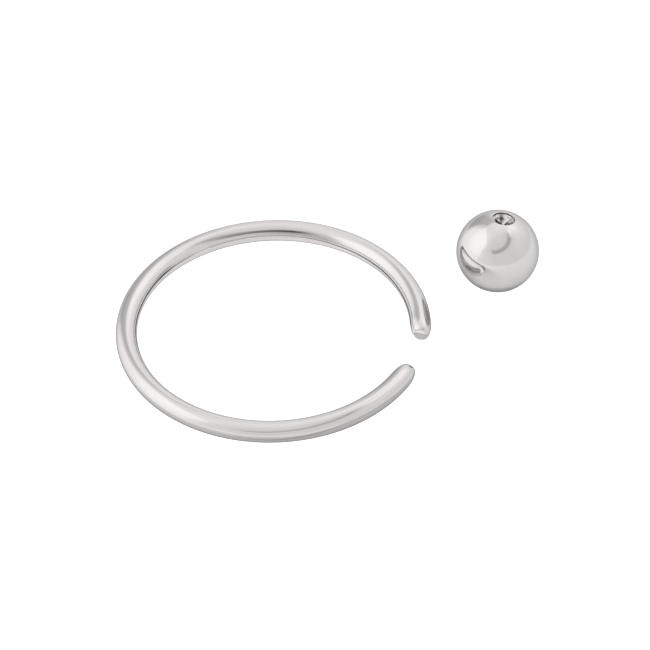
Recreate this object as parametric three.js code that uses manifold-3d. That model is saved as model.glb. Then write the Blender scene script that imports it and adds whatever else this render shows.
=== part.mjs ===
// A ball closure ring with its ball taken out: an open ring of round wire lying flat and,
// beside it, the closure ball, whose two drilled dimples clip onto the ends of the wire.
// Millimetres, +Z up. Both pieces stand on the plane Z = 0. +X runs from the ring's centre
// through the middle of its gap, and the origin is under the middle of the box round both.
import * as THREE from "three";
import { mergeVertices } from "three/addons/utils/BufferGeometryUtils.js";
import Module from "manifold-3d";

// Driving dimensions, in millimetres and degrees.
const wireDiameter = 1.02; // 18 gauge
const insideDiameter = 12.9; // a nominal half inch, sprung open a little
const gapWidth = 2.4; // between the two end faces, which are parallel
const endRounding = 0.22; // what the polished ends lose all round
const endTaper = 0.85; // how far back from an end face the rounding reaches
const ballDiameter = 3.97; // 5/32 inch
const dimpleDiameter = 1.06; // a running fit on the wire
const dimpleWall = 0.12; // straight side of a dimple, from its rim down
const drillPoint = 118; // full angle of the cone at a dimple's bottom
const dimpleLean = 10.5; // of the upper dimple, from the line through the lower one
const leanHeading = 54; // where it leans to, round +Z from +X
const ballDistance = 11.33; // ring's centre to ball's centre, seen from above
const ballHeading = 33.9; // direction of the ball from the ring's centre, round +Z from +X

// How finely the round shapes are divided.
const wireSides = 24;
const wireSteps = 80;
const endSteps = 6;
const ballSides = 48;

const wireRadius = wireDiameter / 2;
const ballRadius = ballDiameter / 2;
const dimpleRadius = dimpleDiameter / 2;
const bendRadius = insideDiameter / 2 + wireRadius; // of the wire's centre line
const halfGap = Math.asin(gapWidth / 2 / bendRadius); // angle from +X to an end face
const radians = THREE.MathUtils.degToRad;
const smoothstep = THREE.MathUtils.smoothstep;
const lathedAxis = new THREE.Vector3(0, 1, 0);

const steel = new THREE.MeshStandardMaterial({ color: 0xbebcbb, roughness: 0.1, metalness: 1 });

const wasm = await Module();
wasm.setup();

// A closed geometry as a solid that can be cut.
function solidOf(geometry) {
  const bare = new THREE.BufferGeometry();
  bare.setAttribute("position", geometry.getAttribute("position"));
  bare.setIndex(geometry.index);
  const merged = mergeVertices(bare);
  const mesh = new wasm.Mesh({
    numProp: 3,
    vertProperties: merged.getAttribute("position").array,
    triVerts: new Uint32Array(merged.index.array),
  });
  return new wasm.Manifold(mesh);
}

// A cut solid as a geometry.
function geometryOf(solid) {
  const mesh = solid.getMesh();
  const geometry = new THREE.BufferGeometry();
  geometry.setAttribute("position", new THREE.BufferAttribute(mesh.vertProperties, 3));
  geometry.setIndex(new THREE.BufferAttribute(mesh.triVerts, 1));
  geometry.computeVertexNormals();
  return geometry;
}

// The wire before it is bent, along Y and centred on the origin: flat faces at both ends,
// and behind each a quarter ellipse out to the full wire.
function straightWire(length) {
  const half = length / 2;
  const firstHalf = [new THREE.Vector2(0, -half)];
  for (let i = 0; i <= endSteps; i++) {
    const turn = ((i / endSteps) * Math.PI) / 2;
    const radius = wireRadius - endRounding * (1 - Math.sin(turn));
    firstHalf.push(new THREE.Vector2(radius, -half + endTaper * (1 - Math.cos(turn))));
  }
  for (let i = 1; i < wireSteps / 2; i++) {
    const share = i / (wireSteps / 2);
    firstHalf.push(new THREE.Vector2(wireRadius, (endTaper - half) * (1 - share)));
  }
  const middle = new THREE.Vector2(wireRadius, 0);
  const secondHalf = firstHalf.map((point) => new THREE.Vector2(point.x, -point.y)).reverse();
  return new THREE.LatheGeometry([...firstHalf, middle, ...secondHalf], wireSides);
}

// Bends the straight wire round Z, with its middle at -X. Near the ends each cross-section
// turns from square across the wire to square across the gap.
function bendIntoRing(geometry, length) {
  const place = geometry.getAttribute("position");
  const out = new THREE.Vector3();
  const along = new THREE.Vector3();
  for (let i = 0; i < place.count; i++) {
    const offset = place.getX(i);
    const station = place.getY(i);
    const fromEnd = length / 2 - Math.abs(station);
    const slant = 1 - smoothstep(fromEnd, endTaper, 2 * endTaper);
    const slide = offset * Math.tan(halfGap) * slant * Math.sign(station);
    const angle = Math.PI + station / bendRadius;
    out.set(Math.cos(angle), Math.sin(angle), 0).multiplyScalar(bendRadius + offset);
    along.set(-Math.sin(angle), Math.cos(angle), 0).multiplyScalar(slide);
    out.add(along);
    place.setXY(i, out.x, out.y);
  }
  geometry.computeVertexNormals();
  return geometry;
}

// The drill's shape along +Y from the ball's centre: its point, then its side out past the ball.
function drill() {
  const rim = Math.sqrt(ballRadius ** 2 - dimpleRadius ** 2);
  const shoulder = rim - dimpleWall;
  const point = shoulder - dimpleRadius / Math.tan(radians(drillPoint / 2));
  const profile = [
    new THREE.Vector2(0, point),
    new THREE.Vector2(dimpleRadius, shoulder),
    new THREE.Vector2(dimpleRadius, ballDiameter),
    new THREE.Vector2(0, ballDiameter),
  ];
  return new THREE.LatheGeometry(profile, ballSides);
}

// The unit vector that leans this far from straight up, towards a heading.
function leaning(lean, heading) {
  const up = new THREE.Vector3(0, 0, 1);
  const hinge = new THREE.Vector3(-Math.sin(radians(heading)), Math.cos(radians(heading)), 0);
  return up.applyAxisAngle(hinge, radians(lean));
}

function openRing() {
  const length = bendRadius * 2 * (Math.PI - halfGap);
  const ring = new THREE.Mesh(bendIntoRing(straightWire(length), length), steel.clone());
  ring.name = "open_ring";
  ring.position.z = wireRadius;
  return ring;
}

function closureBall() {
  const sphere = new THREE.SphereGeometry(ballRadius, ballSides, ballSides / 2);
  let solid = solidOf(sphere.rotateX(Math.PI / 2));
  for (const axis of [new THREE.Vector3(0, 0, -1), leaning(dimpleLean, leanHeading)]) {
    const turn = new THREE.Quaternion().setFromUnitVectors(lathedAxis, axis);
    solid = solid.subtract(solidOf(drill().applyQuaternion(turn)));
  }
  const ball = new THREE.Mesh(geometryOf(solid), steel.clone());
  ball.name = "closure_ball";
  const heading = radians(ballHeading);
  ball.position.set(Math.cos(heading), Math.sin(heading), 0).multiplyScalar(ballDistance);
  ball.geometry.computeBoundingBox();
  ball.position.z = -ball.geometry.boundingBox.min.z; // it stands on its lower dimple's rim
  return ball;
}

const part = new THREE.Group();
part.add(openRing(), closureBall());
const middle = new THREE.Box3().setFromObject(part).getCenter(new THREE.Vector3());
part.position.set(-middle.x, -middle.y, 0);

export default part;
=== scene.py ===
# An open ring of polished steel wire lying flat, with its drilled closure ball beside it.
# Lengths in the dictionaries are millimetres and angles degrees; the meshes are made in metres.
import math

import bpy
import mathutils
import numpy as np
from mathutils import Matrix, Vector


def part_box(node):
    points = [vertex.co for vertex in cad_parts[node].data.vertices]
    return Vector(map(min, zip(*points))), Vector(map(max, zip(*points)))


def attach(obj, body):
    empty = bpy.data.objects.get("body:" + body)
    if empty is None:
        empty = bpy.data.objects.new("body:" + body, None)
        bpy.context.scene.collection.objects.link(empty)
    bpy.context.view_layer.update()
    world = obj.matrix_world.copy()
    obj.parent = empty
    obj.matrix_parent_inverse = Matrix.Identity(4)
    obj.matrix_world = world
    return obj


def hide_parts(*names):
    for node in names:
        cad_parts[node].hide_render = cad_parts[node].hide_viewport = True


millimetre = 0.001  # in metres
fullTurn = 2 * math.pi
fullCircle = 360  # a full turn in degrees

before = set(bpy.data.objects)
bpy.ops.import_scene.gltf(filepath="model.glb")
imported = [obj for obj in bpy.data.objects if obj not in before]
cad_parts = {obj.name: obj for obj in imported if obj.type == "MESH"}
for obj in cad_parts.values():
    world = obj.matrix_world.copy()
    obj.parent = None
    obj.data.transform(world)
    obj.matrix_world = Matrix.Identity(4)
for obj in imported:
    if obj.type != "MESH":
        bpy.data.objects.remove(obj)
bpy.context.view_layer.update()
print("the packed frame is loaded")


# Meshes

# A new object at the origin, from points in millimetres and the faces between them.
def newObject(name, points, faces):
    mesh = bpy.data.meshes.new(name)
    mesh.from_pydata((points * millimetre).tolist(), [], faces)
    made = bpy.data.objects.new(name, mesh)
    bpy.context.scene.collection.objects.link(made)
    return made


# A closed skin from rows of points round an axis: quads between neighbouring rows, and a fan
# from a single point at each end. Seen from the first point the points of a row go anticlockwise,
# and the faces then point outwards.
def closedSkin(name, firstPoint, rows, lastPoint):
    rowCount, sideCount = rows.shape[:2]
    points = np.vstack([firstPoint[None], rows.reshape(-1, 3), lastPoint[None]])
    side = np.arange(sideCount)
    nextSide = (side + 1) % sideCount
    row = np.arange(rowCount - 1)[:, None] * sideCount + 1
    nextRow = row + sideCount
    quads = np.stack([row + side, nextRow + side, nextRow + nextSide, row + nextSide], -1)
    lastRow = 1 + (rowCount - 1) * sideCount
    lastOne = np.full_like(side, len(points) - 1)
    firstFan = np.stack([np.zeros_like(side), 1 + side, 1 + nextSide], -1)
    lastFan = np.stack([lastOne, lastRow + nextSide, lastRow + side], -1)
    faces = firstFan.tolist() + quads.reshape(-1, 4).tolist() + lastFan.tolist()
    piece = newObject(name, points, faces)
    piece.data.shade_smooth()
    return piece


# One number for every point of a closed skin, as a named attribute that a material can read.
def addAttribute(piece, name, first, rows, last):
    attribute = piece.data.attributes.new(name, "FLOAT", "POINT")
    values = np.concatenate([first, rows.ravel(), last])
    attribute.data.foreach_set("value", values.astype(np.float32))


# 0 below the low edge, 1 above the high one, and a smooth S between them.
def smoothStep(value, low, high):
    share = np.clip((value - low) / (high - low), 0, 1)
    return share * share * (3 - 2 * share)


# Shader maths

# A node socket that can be used in sums: arithmetic on it adds Math nodes to its tree.
class Signal:
    def __init__(self, tree, socket):
        self.tree, self.socket = tree, socket

    def maths(self, operation, *values):
        sockets = dict(enumerate(values))
        return self.tree.add("ShaderNodeMath", {"operation": operation}, sockets)

    def __add__(self, other):
        return self.maths("ADD", self, other)

    def __sub__(self, other):
        return self.maths("SUBTRACT", self, other)

    def __rsub__(self, other):
        return self.maths("SUBTRACT", other, self)

    def __mul__(self, other):
        return self.maths("MULTIPLY", self, other)

    def __truediv__(self, other):
        return self.maths("DIVIDE", self, other)

    def __rtruediv__(self, other):
        return self.maths("DIVIDE", other, self)

    def __pow__(self, other):
        return self.maths("POWER", self, other)

    def __rpow__(self, other):
        return self.maths("POWER", other, self)

    def __abs__(self):
        return self.maths("ABSOLUTE", self)

    __radd__, __rmul__ = __add__, __mul__

    # the greater of this signal and another
    def above(self, other):
        return self.maths("MAXIMUM", self, other)

    # goes smoothly from start to end while this signal goes from low to high
    def blend(self, low, high, start=0.0, end=1.0):
        sockets = {"Value": self, "From Min": low, "From Max": high, "To Min": start, "To Max": end}
        return self.tree.add("ShaderNodeMapRange", {"interpolation_type": "SMOOTHSTEP"}, sockets)


# A node tree being filled.
class Tree:
    def __init__(self, nodeTree):
        self.nodeTree = nodeTree
        nodeTree.nodes.clear()

    # adds a node, with its settings first and then its sockets, and gives one of its outputs
    def add(self, kind, settings=None, sockets=None, out=0):
        node = self.nodeTree.nodes.new(kind)
        for name, value in (settings or {}).items():
            setattr(node, name, value)
        for name, value in (sockets or {}).items():
            if isinstance(value, Signal):
                self.nodeTree.links.new(value.socket, node.inputs[name])
            else:
                node.inputs[name].default_value = value
        return Signal(self, node.outputs[out]) if len(node.outputs) else None

    # sums on vectors; a length, a distance or a product comes out as a value
    def vectorMaths(self, operation, *vectors, out="Vector"):
        inputs = [vector if isinstance(vector, Signal) else tuple(vector) for vector in vectors]
        settings = {"operation": operation}
        return self.add("ShaderNodeVectorMath", settings, dict(enumerate(inputs)), out)

    # how far a vector reaches along a fixed direction
    def along(self, vector, direction):
        return self.vectorMaths("DOT_PRODUCT", vector, direction, out="Value")

    # a colour between two colours, which are sockets 6 and 7 of the node
    def mixColours(self, share, first, second):
        sockets = {"Factor": share, 6: first, 7: second}
        return self.add("ShaderNodeMix", {"data_type": "RGBA"}, sockets, 2)

    def noise(self, vector, scale, detail=2.0):
        sockets = {"Vector": vector, "Scale": scale, "Detail": detail}
        return self.add("ShaderNodeTexNoise", {}, sockets)

    # a number that the mesh carries at each point
    def attribute(self, name):
        return self.add("ShaderNodeAttribute", {"attribute_name": name}, out="Fac")

    # the place on the object, in millimetres
    def place(self):
        metres = self.add("ShaderNodeTexCoord", out="Object")
        return self.vectorMaths("DIVIDE", metres, (millimetre,) * 3)


def newMaterial(name):
    material = bpy.data.materials.new(name)
    material.use_nodes = True
    return material, Tree(material.node_tree)


# Camera: a long lens, a little to one side of straight in front, looking down at the pieces

view = {
    "heading": 15.9,  # round the pieces from straight in front
    "elevation": 43.079,
    "roll": 1.4095,
    "distance": 168.188,
    "lens": 196.824,
    "sensor": 36.0,
    "nearest": 10,
    "farthest": 10000,
    "aside": (2.4405, 0.1415),  # the view's middle, right of and above the ring's centre
}


# The directions that belong to the view: level ones to its right and away from it, straight up,
# and its own axes, which are those lifted by its elevation and rolled.
def viewAxes():
    heading, elevation, roll = (math.radians(view[key]) for key in ("heading", "elevation", "roll"))
    right = np.array([math.cos(heading), math.sin(heading), 0])
    away = np.array([-math.sin(heading), math.cos(heading), 0])
    upright = np.array([0, 0, 1])
    lifted = math.sin(elevation) * away + math.cos(elevation) * upright
    back = -math.cos(elevation) * away + math.sin(elevation) * upright
    across = math.cos(roll) * right - math.sin(roll) * lifted
    up = math.sin(roll) * right + math.cos(roll) * lifted
    return right, away, upright, across, up, back


def addCamera(target):
    across, up, back = viewAxes()[3:]
    data = bpy.data.cameras.new("studioCamera")
    data.lens, data.sensor_width = view["lens"], view["sensor"]
    data.clip_start, data.clip_end = view["nearest"] * millimetre, view["farthest"] * millimetre
    camera = bpy.data.objects.new("studioCamera", data)
    rightwards, upwards = view["aside"]
    place = target + rightwards * across + upwards * up + view["distance"] * back
    matrix = np.eye(4)
    matrix[:3] = np.column_stack([across, up, back, place * millimetre])
    camera.matrix_world = mathutils.Matrix(matrix.tolist())
    bpy.context.scene.collection.objects.link(camera)
    bpy.context.scene.camera = camera


# The open ring: one length of round wire, bent, with rounded ends

# Angles round the ring go from the middle of its gap, and angles round the wire go up and over
# from its outer side.
wire = {
    "diameter": 1.02,
    "insideDiameter": 12.9,
    "gapWidth": 2.4,
    "endRounding": 0.22,  # what the ends lose all round
    "endTaper": 0.85,  # how far back the rounding reaches
    "sides": 96,
    "steps": 640,
    "endSteps": 26,
    "endCrowding": 1.3,  # above 1, the steps of the rounding crowd towards the face
    "faceSteps": 14,
    # the darker lower part of each end face, painted shade, with a painted dark shade line along
    # its top
    "faceShading": {"thickness": 0.008, "top": 0.07, "edge": 0.05, "edgeShadeLine": 0.3},
    # a fine groove along the inner side, coloured near black as a painted dark reflection: by the
    # angle round the ring, its angle above the level and the share of its depth that is kept
    "line": {
        "width": 0.14,
        "depth": 0.05,
        "sides": 12,
        "height": [
            (10, 19), (22, 15), (34, 9), (76, 8), (100, 15), (180, 15), (192, 22), (206, 26),
        ],
        "kept": [
            (0, 0.9), (45, 0.9), (62, 0.52), (78, 0.4), (95, 0.27), (138, 0.27), (151, 0.4),
            (162, 1.0), (360, 1.0),
        ],
    },
    # soft dark streaks, painted dark reflections: where each starts, is full, fades and ends round
    # the ring, its two angles round the wire, where it goes from one to the other, and half its
    # width
    "paintedStreaks": [
        {"reach": (84, 98, 122, 139), "around": (142.5, 129), "shift": (116, 148), "half": 10,
         "strength": 0.78},
        {"reach": (72, 84, 98, 118), "around": (152, 152), "shift": (74, 116), "half": 30,
         "strength": 0.35},
        {"reach": (262, 296, 326, 346), "around": (-3, 18), "shift": (284, 318), "half": 8,
         "strength": 0.42},
    ],
}
wire["radius"] = wire["diameter"] / 2
wire["bendRadius"] = wire["insideDiameter"] / 2 + wire["radius"]
wire["halfGap"] = math.asin(wire["gapWidth"] / 2 / wire["bendRadius"])
wire["halfLength"] = wire["bendRadius"] * (math.pi - wire["halfGap"])


# Radius and place along the wire, from one end to the other: a flat face, a quarter of an ellipse
# out to the full wire, the plain wire, and the same backwards.
def wireProfile():
    half, radius = wire["halfLength"], wire["radius"]
    faceEdge = radius - wire["endRounding"]
    face = faceEdge * np.linspace(0, 1, wire["faceSteps"] + 1)[1:-1]
    turn = fullTurn / 4 * np.linspace(0, 1, wire["endSteps"]) ** wire["endCrowding"]
    endRadius = np.concatenate([face, faceEdge + wire["endRounding"] * np.sin(turn)])
    endPlace = np.concatenate([face * 0, wire["endTaper"] * (1 - np.cos(turn))]) - half
    middle = np.linspace(endPlace[-1], -endPlace[-1], wire["steps"])[1:-1]
    radii = np.concatenate([endRadius, np.full_like(middle, radius), endRadius[::-1]])
    return radii, np.concatenate([endPlace, middle, -endPlace[::-1]])


# Bends points of the straight wire (sideways offset, height, place along it) round the ring's
# centre. Near the ends each section turns from square across the wire to square across the gap.
def bend(offset, height, place):
    fromEnd = wire["halfLength"] - np.abs(place)
    slant = 1 - smoothStep(fromEnd, wire["endTaper"], 2 * wire["endTaper"])
    slide = offset * math.tan(wire["halfGap"]) * slant * np.sign(place)
    angle = math.pi + place / wire["bendRadius"]
    x = (wire["bendRadius"] + offset) * np.cos(angle) - slide * np.sin(angle)
    y = (wire["bendRadius"] + offset) * np.sin(angle) + slide * np.cos(angle)
    return np.stack([x, y, height], -1)


def ringCentre():
    low = np.array(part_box("open_ring")[0]) / millimetre
    outside = wire["bendRadius"] + wire["radius"]
    return np.array([low[0] + outside, low[1] + outside, wire["radius"]])


# Angles round the section, counted from the drawn line, closer together across it.
def sectionAngles():
    half = wire["line"]["width"] / 2 / wire["radius"]
    fine = np.linspace(-half, half, wire["line"]["sides"] + 1)
    coarse = np.linspace(half, fullTurn - half, wire["sides"])[1:-1]
    return np.concatenate([fine, coarse]), half


# The share of the groove's depth, which also sets how dark its painted reflection is: it falls
# evenly from the groove's middle to its edges, and smoothly to nothing where the ends are rounded.
def grooveShare(ringAngle, fromEnd, offLine, halfLine):
    kept = np.interp(ringAngle, *zip(*wire["line"]["kept"]))
    across = np.clip(1 - np.abs(offLine) / halfLine, 0, 1)
    return kept * across * smoothStep(fromEnd, 0, wire["endTaper"])


# The shares of the painted shade on the lower part of an end face, and of the painted dark line
# along its top, by height on the face.
def faceShadeShares(fromEnd, height):
    faceShade = wire["faceShading"]
    top, edge = faceShade["top"], faceShade["edge"]
    onFace = 1 - smoothStep(fromEnd, 0, faceShade["thickness"])
    lower = 1 - smoothStep(height, top - edge / 2, top + edge / 2)
    edgeShadeLine = 1 - smoothStep(np.abs(height - top), 0, edge)
    return onFace * lower, onFace * edgeShadeLine * faceShade["edgeShadeLine"]


# The share of a painted dark streak: full along its reach and its middle, smoothly less to its ends
# and its sides.
def paintedStreakShare(darkStreak, ringAngle, turn):
    start, full, fade, end = darkStreak["reach"]
    ends = smoothStep(ringAngle, start, full) * (1 - smoothStep(ringAngle, fade, end))
    low, high = darkStreak["around"]
    middle = low + (high - low) * smoothStep(ringAngle, *darkStreak["shift"])
    aside = (np.degrees(turn) - middle + fullCircle / 2) % fullCircle - fullCircle / 2
    return darkStreak["strength"] * ends * (1 - smoothStep(np.abs(aside), 0, darkStreak["half"]))


# Each section is a circle round the wire's middle line, less the fine groove. The straight wire
# that the sections make is then bent.
def makeRing(centre):
    radii, places = (values[:, None] for values in wireProfile())
    offLine, halfLine = sectionAngles()
    ringAngle = np.degrees(math.pi + places / wire["bendRadius"])
    fromEnd = wire["halfLength"] - np.abs(places)
    lineHeight = np.radians(np.interp(ringAngle, *zip(*wire["line"]["height"])))
    turn = math.pi - lineHeight + offLine
    groove = grooveShare(ringAngle, fromEnd, offLine, halfLine)
    reach = radii - wire["line"]["depth"] * groove
    height = reach * np.sin(turn)
    places = np.broadcast_to(places, turn.shape)
    rows = bend(reach * np.cos(turn), height, places)
    ends = bend(np.zeros(2), np.zeros(2), np.array([-1, 1]) * wire["halfLength"])
    piece = closedSkin("polishedRing", ends[0] + centre, rows + centre, ends[1] + centre)
    faceShade, edgeShadeLine = faceShadeShares(fromEnd, height)
    values = {
        "alongWire": places,
        "aroundWireX": np.cos(turn) * wire["radius"],
        "aroundWireY": np.sin(turn) * wire["radius"],
        # painted dark lines: the groove's painted dark reflection and the painted shade line along
        # each end face
        "paintedDarkLines": np.maximum(groove, edgeShadeLine),
        # painted dark reflections: soft dark streaks along the wire
        "paintedStreakShade": sum(paintedStreakShare(darkStreak, ringAngle, turn) for darkStreak in wire["paintedStreaks"]),
        # painted shade on the lower part of the end faces
        "endFaceShade": faceShade,
    }
    for name, value in values.items():
        addAttribute(piece, name, value[0, :1], value, value[-1, :1])
    return piece


# The closure ball: a sphere with two drilled dimples

ball = {
    "diameter": 3.97,
    "dimpleDiameter": 1.06,
    "dimpleWall": 0.12,
    "drillPoint": 118,
    "edgeBreak": 0.04,  # radius of a dimple's polished edge
    "lean": 10.5,  # of the upper dimple
    "leanHeading": 54,
    "leanFull": 0.8,  # from this share of the way up from the equator, the whole lean
    "sides": 160,
    "rows": 220,
    "dimpleRows": 32,
    # what the drill left inside: waves in the cone, each as lobes round, turns inwards and height
    "waves": [(3, 1.1, 0.009), (5, -1.7, 0.006), (9, 2.3, 0.004)],
    # and dark patches, painted reflections, each as places along and across the lean, size and
    # strength
    "paintedPatches": [
        (0.17, 0.33, 0.16, 1), (0.14, 0.27, 0.12, 1), (-0.01, 0.38, 0.08, 1),
        (-0.15, 0.28, 0.14, 1), (-0.25, 0.16, 0.16, 1), (-0.17, 0.07, 0.14, 1),
        (0.06, -0.12, 0.11, 1), (0.25, -0.05, 0.1, 0.625), (0.22, -0.12, 0.08, 0.625),
        (-0.05, 0.14, 0.19, 0.625),
    ],
}
ball["radius"] = ball["diameter"] / 2
ball["hole"] = ball["dimpleDiameter"] / 2
ball["rim"] = math.sqrt(ball["radius"] ** 2 - ball["hole"] ** 2)  # its height above the centre


# Half of the ball's profile, as distance from its axis and height above its centre: the drilled
# cone, the straight wall, the rounded edge and the sphere down to its equator. It comes with the
# number of points in the cone, and in the cone and the wall.
def halfProfile():
    radius, hole, edge = ball["radius"], ball["hole"], ball["edgeBreak"]
    shoulder = ball["rim"] - ball["dimpleWall"]
    depth = hole / math.tan(math.radians(ball["drillPoint"] / 2))
    share = np.linspace(0, 1, ball["dimpleRows"] + 1)
    cone = np.stack([hole * share, shoulder - depth * (1 - share)], -1)
    edgeAxis, edgeHeight = hole + edge, math.sqrt((radius - edge) ** 2 - (hole + edge) ** 2)
    wallTop = np.array([hole, edgeHeight])
    wall = cone[-1] + (wallTop - cone[-1]) * share[1:-1, None]
    leaves = math.atan2(edgeHeight, edgeAxis)  # where the edge meets the sphere
    turn = math.pi + (leaves - math.pi) * share
    rounded = np.stack([edgeAxis + edge * np.cos(turn), edgeHeight + edge * np.sin(turn)], -1)
    fall = leaves * (1 - np.linspace(0, 1, ball["rows"] // 2 + 1)[1:])
    sphere = radius * np.stack([np.cos(fall), np.sin(fall)], -1)
    return np.concatenate([cone, wall, rounded, sphere]), len(cone), len(cone) + len(wall)


# The ball's centre: it stands on the rim of its lower dimple.
def ballCentre():
    low, high = (np.array(corner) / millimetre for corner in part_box("closure_ball"))
    return np.append((low + high)[:2] / 2, ball["rim"])


# The waves in a cone: lobes round it that turn on their way in, gone at its tip and its edge.
def drillWaves(across, turn):
    coneShare = np.clip(across / ball["hole"], 0, 1)
    waves = sum(
        size * np.cos(lobes * turn + fullTurn * turns * coneShare)
        for lobes, turns, size in ball["waves"]
    )
    return waves * np.sin(math.pi * coneShare)


# The painted dark patches, painted reflections in the dimples: round spots that fade smoothly from
# their middles.
def paintedPatchShare(forward, sideways):
    share = sum(
        strength * (1 - smoothStep(np.hypot(forward - ahead, sideways - aside), 0, size))
        for ahead, aside, size, strength in ball["paintedPatches"]
    )
    return np.clip(share, 0, 1)


# The upper half leans about a level hinge, fully down to the dimple's edge and then less and less
# to the equator, so the sphere's points slide over the sphere.
def leanOver(forward, sideways, height, lean):
    heading = math.radians(ball["leanHeading"])
    ahead = np.array([math.cos(heading), math.sin(heading), 0])
    hinge = np.array([-math.sin(heading), math.cos(heading), 0])
    reach = forward * np.cos(lean) + height * np.sin(lean)
    rise = height * np.cos(lean) - forward * np.sin(lean)
    points = reach[..., None] * ahead + sideways[..., None] * hinge
    points[..., 2] += rise
    return points


# The profile goes down one half of the ball and up the other as far as the lower cone's tip, and
# is turned round the axis before its upper half leans.
def makeBall():
    profile, coneRows, dimpleRows = halfProfile()
    across = np.concatenate([profile[:, 0], profile[-2::-1, 0]])[:, None]
    height = np.concatenate([profile[:, 1], -profile[-2::-1, 1]])[:, None]
    turn = fullTurn * np.arange(ball["sides"]) / ball["sides"]
    level = np.arctan2(height, across) / (fullTurn / 4)
    lean = math.radians(ball["lean"]) * smoothStep(level, 0, ball["leanFull"])
    lean[:dimpleRows] = math.radians(ball["lean"])
    forward, sideways = across * np.cos(turn), across * np.sin(turn)
    upOrDown = np.zeros_like(across)
    upOrDown[:coneRows], upOrDown[-coneRows:] = 1, -1
    height = height + upOrDown * drillWaves(across, turn)
    points = leanOver(forward, sideways, height, lean) + ballCentre()
    piece = closedSkin("drilledBall", points[0, 0], points[1:-1], points[-1, 0])
    inside = np.zeros_like(forward)
    inside[:dimpleRows] = inside[-dimpleRows:] = 1
    # painted dark reflections inside the dimples
    values = {"insideDimple": inside, "paintedPatchShade": inside * paintedPatchShare(forward, sideways)}
    for name, value in values.items():
        addAttribute(piece, name, value[0, :1], value[1:-1], value[-1, :1])
    return piece


# Polished steel

steel = {
    "light": (0.52, 0.505, 0.5, 1),
    "dark": (0.49, 0.475, 0.47, 1),
    "shadeBlack": (0.06, 0.058, 0.056, 1),  # near black, where painted shade and painted dark reflections go
    "faceShade": (0.34, 0.333, 0.33, 1),  # painted shade, low on the wire's end faces
    "outline": (0.5, 0.5, 0.5, 1),  # tint of the shine where the surface turns away
    "spread": (0.3, 0.7),  # the values of a noise where the steel is least and most rough
}

wireFinish = {
    "roughness": (0.11, 0.16),
    "faceRoughness": 0.15,  # more on the lower part of the end faces, where shade is painted
    "streaks": (9, 9, 0.6),  # to a millimetre, across the wire twice and along it
    "streakDetail": 4.0,
    "streakDepth": 0.0004,
    "streakStrength": 0.12,
    "clouds": 0.8,  # to a millimetre
    "shadeFrom": 0.6,  # the share of the groove's depth from which its painted dark reflection is full
}

ballFinish = {
    "roughness": (0.04, 0.07),
    "clouds": 0.9,  # to a millimetre
    "grain": 7.0,  # to a millimetre, inside the dimples
    "grainDetail": 3.0,
    "grainRange": (0.4, 0.7),
    # how dark the grain paints the inside of the dimples: painted shade
    "grainShade": 0.6,
    "grainRoughness": 0.3,
}


# Metal all over; the colour, the roughness and the ring's normal change over the surface.
def addSteel(tree, sockets):
    metal = {"Metallic": 1.0, "Specular Tint": steel["outline"], **sockets}
    shader = tree.add("ShaderNodeBsdfPrincipled", sockets=metal)
    tree.add("ShaderNodeOutputMaterial", sockets={"Surface": shader})


# Fine streaks along the wire under a cloudy polish, painted shade low on the end faces and in a
# line along their top, and painted dark reflections in the groove and the dark streaks.
def ringSteel():
    material, tree = newMaterial("polishedWireSteel")
    places = {
        "X": tree.attribute("aroundWireX"),
        "Y": tree.attribute("aroundWireY"),
        "Z": tree.attribute("alongWire"),
    }
    place = tree.add("ShaderNodeCombineXYZ", sockets=places)
    stretched = tree.vectorMaths("MULTIPLY", place, wireFinish["streaks"])
    streaks = tree.noise(stretched, 1.0, wireFinish["streakDetail"])
    clouds = tree.noise(place, wireFinish["clouds"])
    # painted shade low on the end faces darkens their colour
    faceShade = tree.attribute("endFaceShade")
    polished = tree.mixColours(clouds, steel["dark"], steel["light"])
    polished = tree.mixColours(faceShade, polished, steel["faceShade"])
    # painted dark reflections: the groove's dark line and the dark streaks
    line = tree.attribute("paintedDarkLines").blend(0.0, wireFinish["shadeFrom"])
    shadeShare = line.above(tree.attribute("paintedStreakShade"))
    bump = {
        "Strength": wireFinish["streakStrength"],
        "Distance": wireFinish["streakDepth"] * millimetre,
        "Height": streaks,
    }
    roughness = streaks.blend(*steel["spread"], *wireFinish["roughness"])
    # the colour takes the painted near black wherever shade or dark reflections are painted
    addSteel(tree, {
        "Base Color": tree.mixColours(shadeShare, polished, steel["shadeBlack"]),
        "Roughness": roughness + faceShade * wireFinish["faceRoughness"],
        "Normal": tree.add("ShaderNodeBump", sockets=bump),
    })
    return material


# A closer, cloudy polish, with painted dark reflections as patches and painted shade as a dark
# grain inside the dimples.
def ballSteel():
    material, tree = newMaterial("polishedBallSteel")
    place = tree.place()
    clouds = tree.noise(place, ballFinish["clouds"])
    grain = tree.noise(place, ballFinish["grain"], ballFinish["grainDetail"])
    inside = tree.attribute("insideDimple")
    polished = tree.mixColours(clouds, steel["dark"], steel["light"])
    # painted shade: the grain darkens the colour inside the dimples
    shadedGrain = grain.blend(*ballFinish["grainRange"], 0.0, ballFinish["grainShade"])
    shadeShare = (tree.attribute("paintedPatchShade") + inside * shadedGrain).blend(0.0, 1.0)
    roughness = clouds.blend(*steel["spread"], *ballFinish["roughness"])
    addSteel(tree, {
        "Base Color": tree.mixColours(shadeShare, polished, steel["shadeBlack"]),
        "Roughness": roughness + inside * grain * ballFinish["grainRoughness"],
    })
    return material


# The light tent round the pieces

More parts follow.
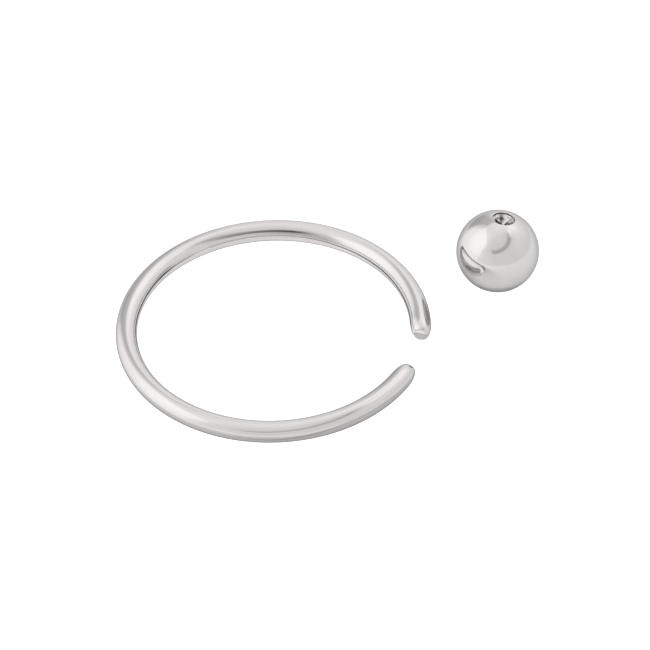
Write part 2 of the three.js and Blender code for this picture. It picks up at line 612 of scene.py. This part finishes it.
# Directions are a heading, round from straight behind the pieces, and an elevation.
tent = {
    "light": 1.31,
    # what is brighter or darker than the tent, each a rectangle with round corners: its half
    # sizes, its corner radius and its soft edge are as they look from one unit away
    "panels": [
        {"at": (-81, 12), "half": (0.85, 1.12), "corner": 0.30, "edge": 0.08, "light": 0.30},
        {"at": (-94, 42), "half": (0.42, 0.67), "corner": 0.41, "edge": 0.33, "light": 0.22},
        {"at": (35, 47), "half": (0.34, 0.18), "corner": 0.18, "edge": 0.25, "light": 0.37},
        {"at": (24, 41), "half": (0.96, 0.69), "corner": 0.54, "edge": 0.36, "light": 0.11},
        {"at": (80, 60), "half": (0.18, 0.05), "corner": 0.04, "edge": 0.07, "light": 0.38},
        {"at": (-26, 19), "half": (0.29, 0.64), "corner": 0.12, "edge": 0.16, "light": -0.55},
        {"at": (-6, 89), "half": (0.20, 0.50), "corner": 0.20, "edge": 0.17, "light": 0.08},
        {"at": (166, 41), "half": (0.89, 1.09), "corner": 0.60, "edge": 0.50, "light": -0.12},
        {"at": (87, -5), "half": (1.06, 0.61), "corner": 0.60, "edge": 0.44, "light": -0.10},
        {"at": (-126, 16), "half": (0.06, 0.15), "corner": 0.06, "edge": 0.14, "light": 0.17},
    ],
    "panelDepth": 0.1,  # a direction has to go at least this far ahead to meet a panel
    # the tent's dark seam, part of a circle on the tent, which fades out between two angles from
    # its middle
    "seam": {
        "axis": (-132.6, 74.8), "radius": 40.5, "width": 10.0, "middle": (150, 48),
        "fade": (46, 34), "light": -0.48,
    },
}


# The unit vector towards a heading and an elevation.
def towards(heading, elevation):
    right, away, upright = viewAxes()[:3]
    heading, elevation = math.radians(heading), math.radians(elevation)
    level = math.cos(heading) * away + math.sin(heading) * right
    return math.cos(elevation) * level + math.sin(elevation) * upright


# The share of a rectangle with round corners that a direction meets: its place on a plane one
# unit away, less the half sizes, gives the distance from the rectangle's edge.
def panelShare(tree, direction, panel):
    heading = panel["at"][0]
    forward = towards(*panel["at"])
    side = towards(heading + fullCircle / 4, 0)
    depth = tree.along(direction, forward)
    width, height = (half - panel["corner"] for half in panel["half"])
    x = abs(tree.along(direction, side) / depth) - width
    y = abs(tree.along(direction, np.cross(side, forward)) / depth) - height
    distance = (x.above(0.0) ** 2.0 + y.above(0.0) ** 2.0) ** 0.5 - panel["corner"]
    inside = distance.blend(-panel["edge"], panel["edge"], 1.0, 0.0)
    return inside * depth.blend(0.0, tent["panelDepth"])


# The share of the seam that a direction meets: a band at one angle from an axis, fading out away
# from its middle.
def seamShare(tree, direction, seam):
    axisShare = tree.along(direction, towards(*seam["axis"]))
    radius, width = math.radians(seam["radius"]), math.radians(seam["width"])
    offAxis = abs(axisShare - math.cos(radius)) / (math.sin(radius) * width)
    middleShare = tree.along(direction, towards(*seam["middle"]))
    ends = [math.cos(math.radians(angle)) for angle in seam["fade"]]
    return offAxis.blend(0.0, 1.0, 1.0, 0.0) * middleShare.blend(*ends)


def lightTent():
    world = bpy.data.worlds.new("lightTent")
    bpy.context.scene.world = world
    world.use_nodes = True
    tree = Tree(world.node_tree)
    direction = tree.add("ShaderNodeTexCoord", out="Generated")
    light = seamShare(tree, direction, tent["seam"]) * tent["seam"]["light"] + tent["light"]
    for panel in tent["panels"]:
        light = light + panelShare(tree, direction, panel) * panel["light"]
    sockets = {"Color": (1, 1, 1, 1), "Strength": light}
    background = tree.add("ShaderNodeBackground", sockets=sockets)
    tree.add("ShaderNodeOutputWorld", sockets={"Surface": background})


# The pale floor

paleFloor = {
    "width": 1000,
    "colour": (0.75, 0.75, 0.75, 1),
    "shadeColour": (0.3, 0.3, 0.3, 1),
    "black": (0, 0, 0, 1),
    "white": (1, 1, 1, 1),
    "shine": 0.4,
    "roughness": 0.3,
    # its glow under the pieces and far from them, and how far out it falls
    "glow": {"light": (0.4, 0.25), "reach": (10, 120)},
    # more of it just inside the ring, and how far in from the ring's foot it starts and is full
    "innerGlow": {"light": 0.35, "start": 1.2, "full": 0.2},
    # the shade between the ring and the ball: a share of the way to the ball's foot, its reach,
    # and the light that it keeps
    "betweenShade": {"way": 0.76, "reach": (0.3, 2.2), "kept": 0.7},
    # the shade along the ring's outer foot: where it starts, is deepest and ends, the heading
    # that it lies towards, how squarely, and its depth
    "footShade": {"out": (0, 0.8, 5), "heading": 172, "facing": (-0.2, 0.7), "depth": 0.4},
    # the dimmer right side
    "sideShade": {"heading": 90, "facing": (0.3, 0.95), "depth": 0.08},
}


# How fully a place lies towards a shade's heading, by its direction out from the ring's centre.
def facingShare(tree, fromRing, outwards, shade):
    squareness = tree.along(fromRing, towards(shade["heading"], 0)) / outwards
    return squareness.blend(*shade["facing"])


# The share of the light that a place on the floor keeps: the product of its three shades.
def floorShade(tree, place, centre, fromRing, outwards):
    between, foot, side = (paleFloor[name] for name in ("betweenShade", "footShade", "sideShade"))
    middle = centre + between["way"] * (ballCentre() - centre)
    fromMiddle = tree.vectorMaths("DISTANCE", place, middle * (1, 1, 0), out="Value")
    start, crest, end = (wire["bendRadius"] + step for step in foot["out"])
    footBand = outwards.blend(start, crest) * outwards.blend(crest, end, 1.0, 0.0)
    footShare = footBand * facingShare(tree, fromRing, outwards, foot)
    sideShare = facingShare(tree, fromRing, outwards, side)
    kept = fromMiddle.blend(*between["reach"], between["kept"], 1.0)
    return kept * (1.0 - footShare * foot["depth"]) * (1.0 - sideShare * side["depth"])


# The floor's glow: a wide pool under the pieces and a narrow band just inside the ring.
def floorGlow(tree, place, outwards):
    pool, inner, foot = paleFloor["glow"], paleFloor["innerGlow"], wire["bendRadius"]
    fromMiddle = tree.vectorMaths("LENGTH", place, out="Value")
    rise = outwards.blend(foot - inner["start"], foot - inner["full"])
    fall = outwards.blend(foot, foot + inner["full"], inner["light"], 0.0)
    return fromMiddle.blend(*pool["reach"], *pool["light"]) + rise * fall


# Satin white, and plain white like the tent where it is looked at directly.
def floorFinish(centre):
    material, tree = newMaterial("paleFloor")
    place = tree.place()
    fromRing = tree.vectorMaths("SUBTRACT", place, centre * (1, 1, 0))
    outwards = tree.vectorMaths("LENGTH", fromRing, out="Value")
    shade = floorShade(tree, place, centre, fromRing, outwards)
    glow = floorGlow(tree, place, outwards) * shade
    satin = tree.add("ShaderNodeBsdfPrincipled", sockets={
        "Base Color": tree.mixColours(shade, paleFloor["shadeColour"], paleFloor["colour"]),
        "Metallic": paleFloor["shine"],
        "Roughness": paleFloor["roughness"],
        "Emission Color": tree.mixColours(glow, paleFloor["black"], paleFloor["white"]),
        "Emission Strength": 1.0,
    })
    plain = tree.add("ShaderNodeEmission", sockets={"Strength": tent["light"]})
    seen = tree.add("ShaderNodeLightPath", out="Is Camera Ray")
    shader = tree.add("ShaderNodeMixShader", sockets={0: seen, 1: satin, 2: plain})
    tree.add("ShaderNodeOutputMaterial", sockets={"Surface": shader})
    return material


# One square, level with the underside of the ring.
def layFloor(centre):
    corners = np.array([(-1, -1, 0), (1, -1, 0), (1, 1, 0), (-1, 1, 0)])
    floor = newObject("paleFloor", corners * paleFloor["width"] / 2, [(0, 1, 2, 3)])
    floor.data.materials.append(floorFinish(centre))


centre = ringCentre()
ringPiece = makeRing(centre)
ringPiece.data.materials.append(ringSteel())
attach(ringPiece, "root")
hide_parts("open_ring")
print("the ring is made:", len(ringPiece.data.polygons), "faces")

ballPiece = makeBall()
ballPiece.data.materials.append(ballSteel())
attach(ballPiece, "root")
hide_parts("closure_ball")
print("the ball is made:", len(ballPiece.data.polygons), "faces")

layFloor(centre)
lightTent()
addCamera(centre)
bpy.context.scene.view_settings.view_transform = "Standard"
print("the floor, the light and the camera are set")
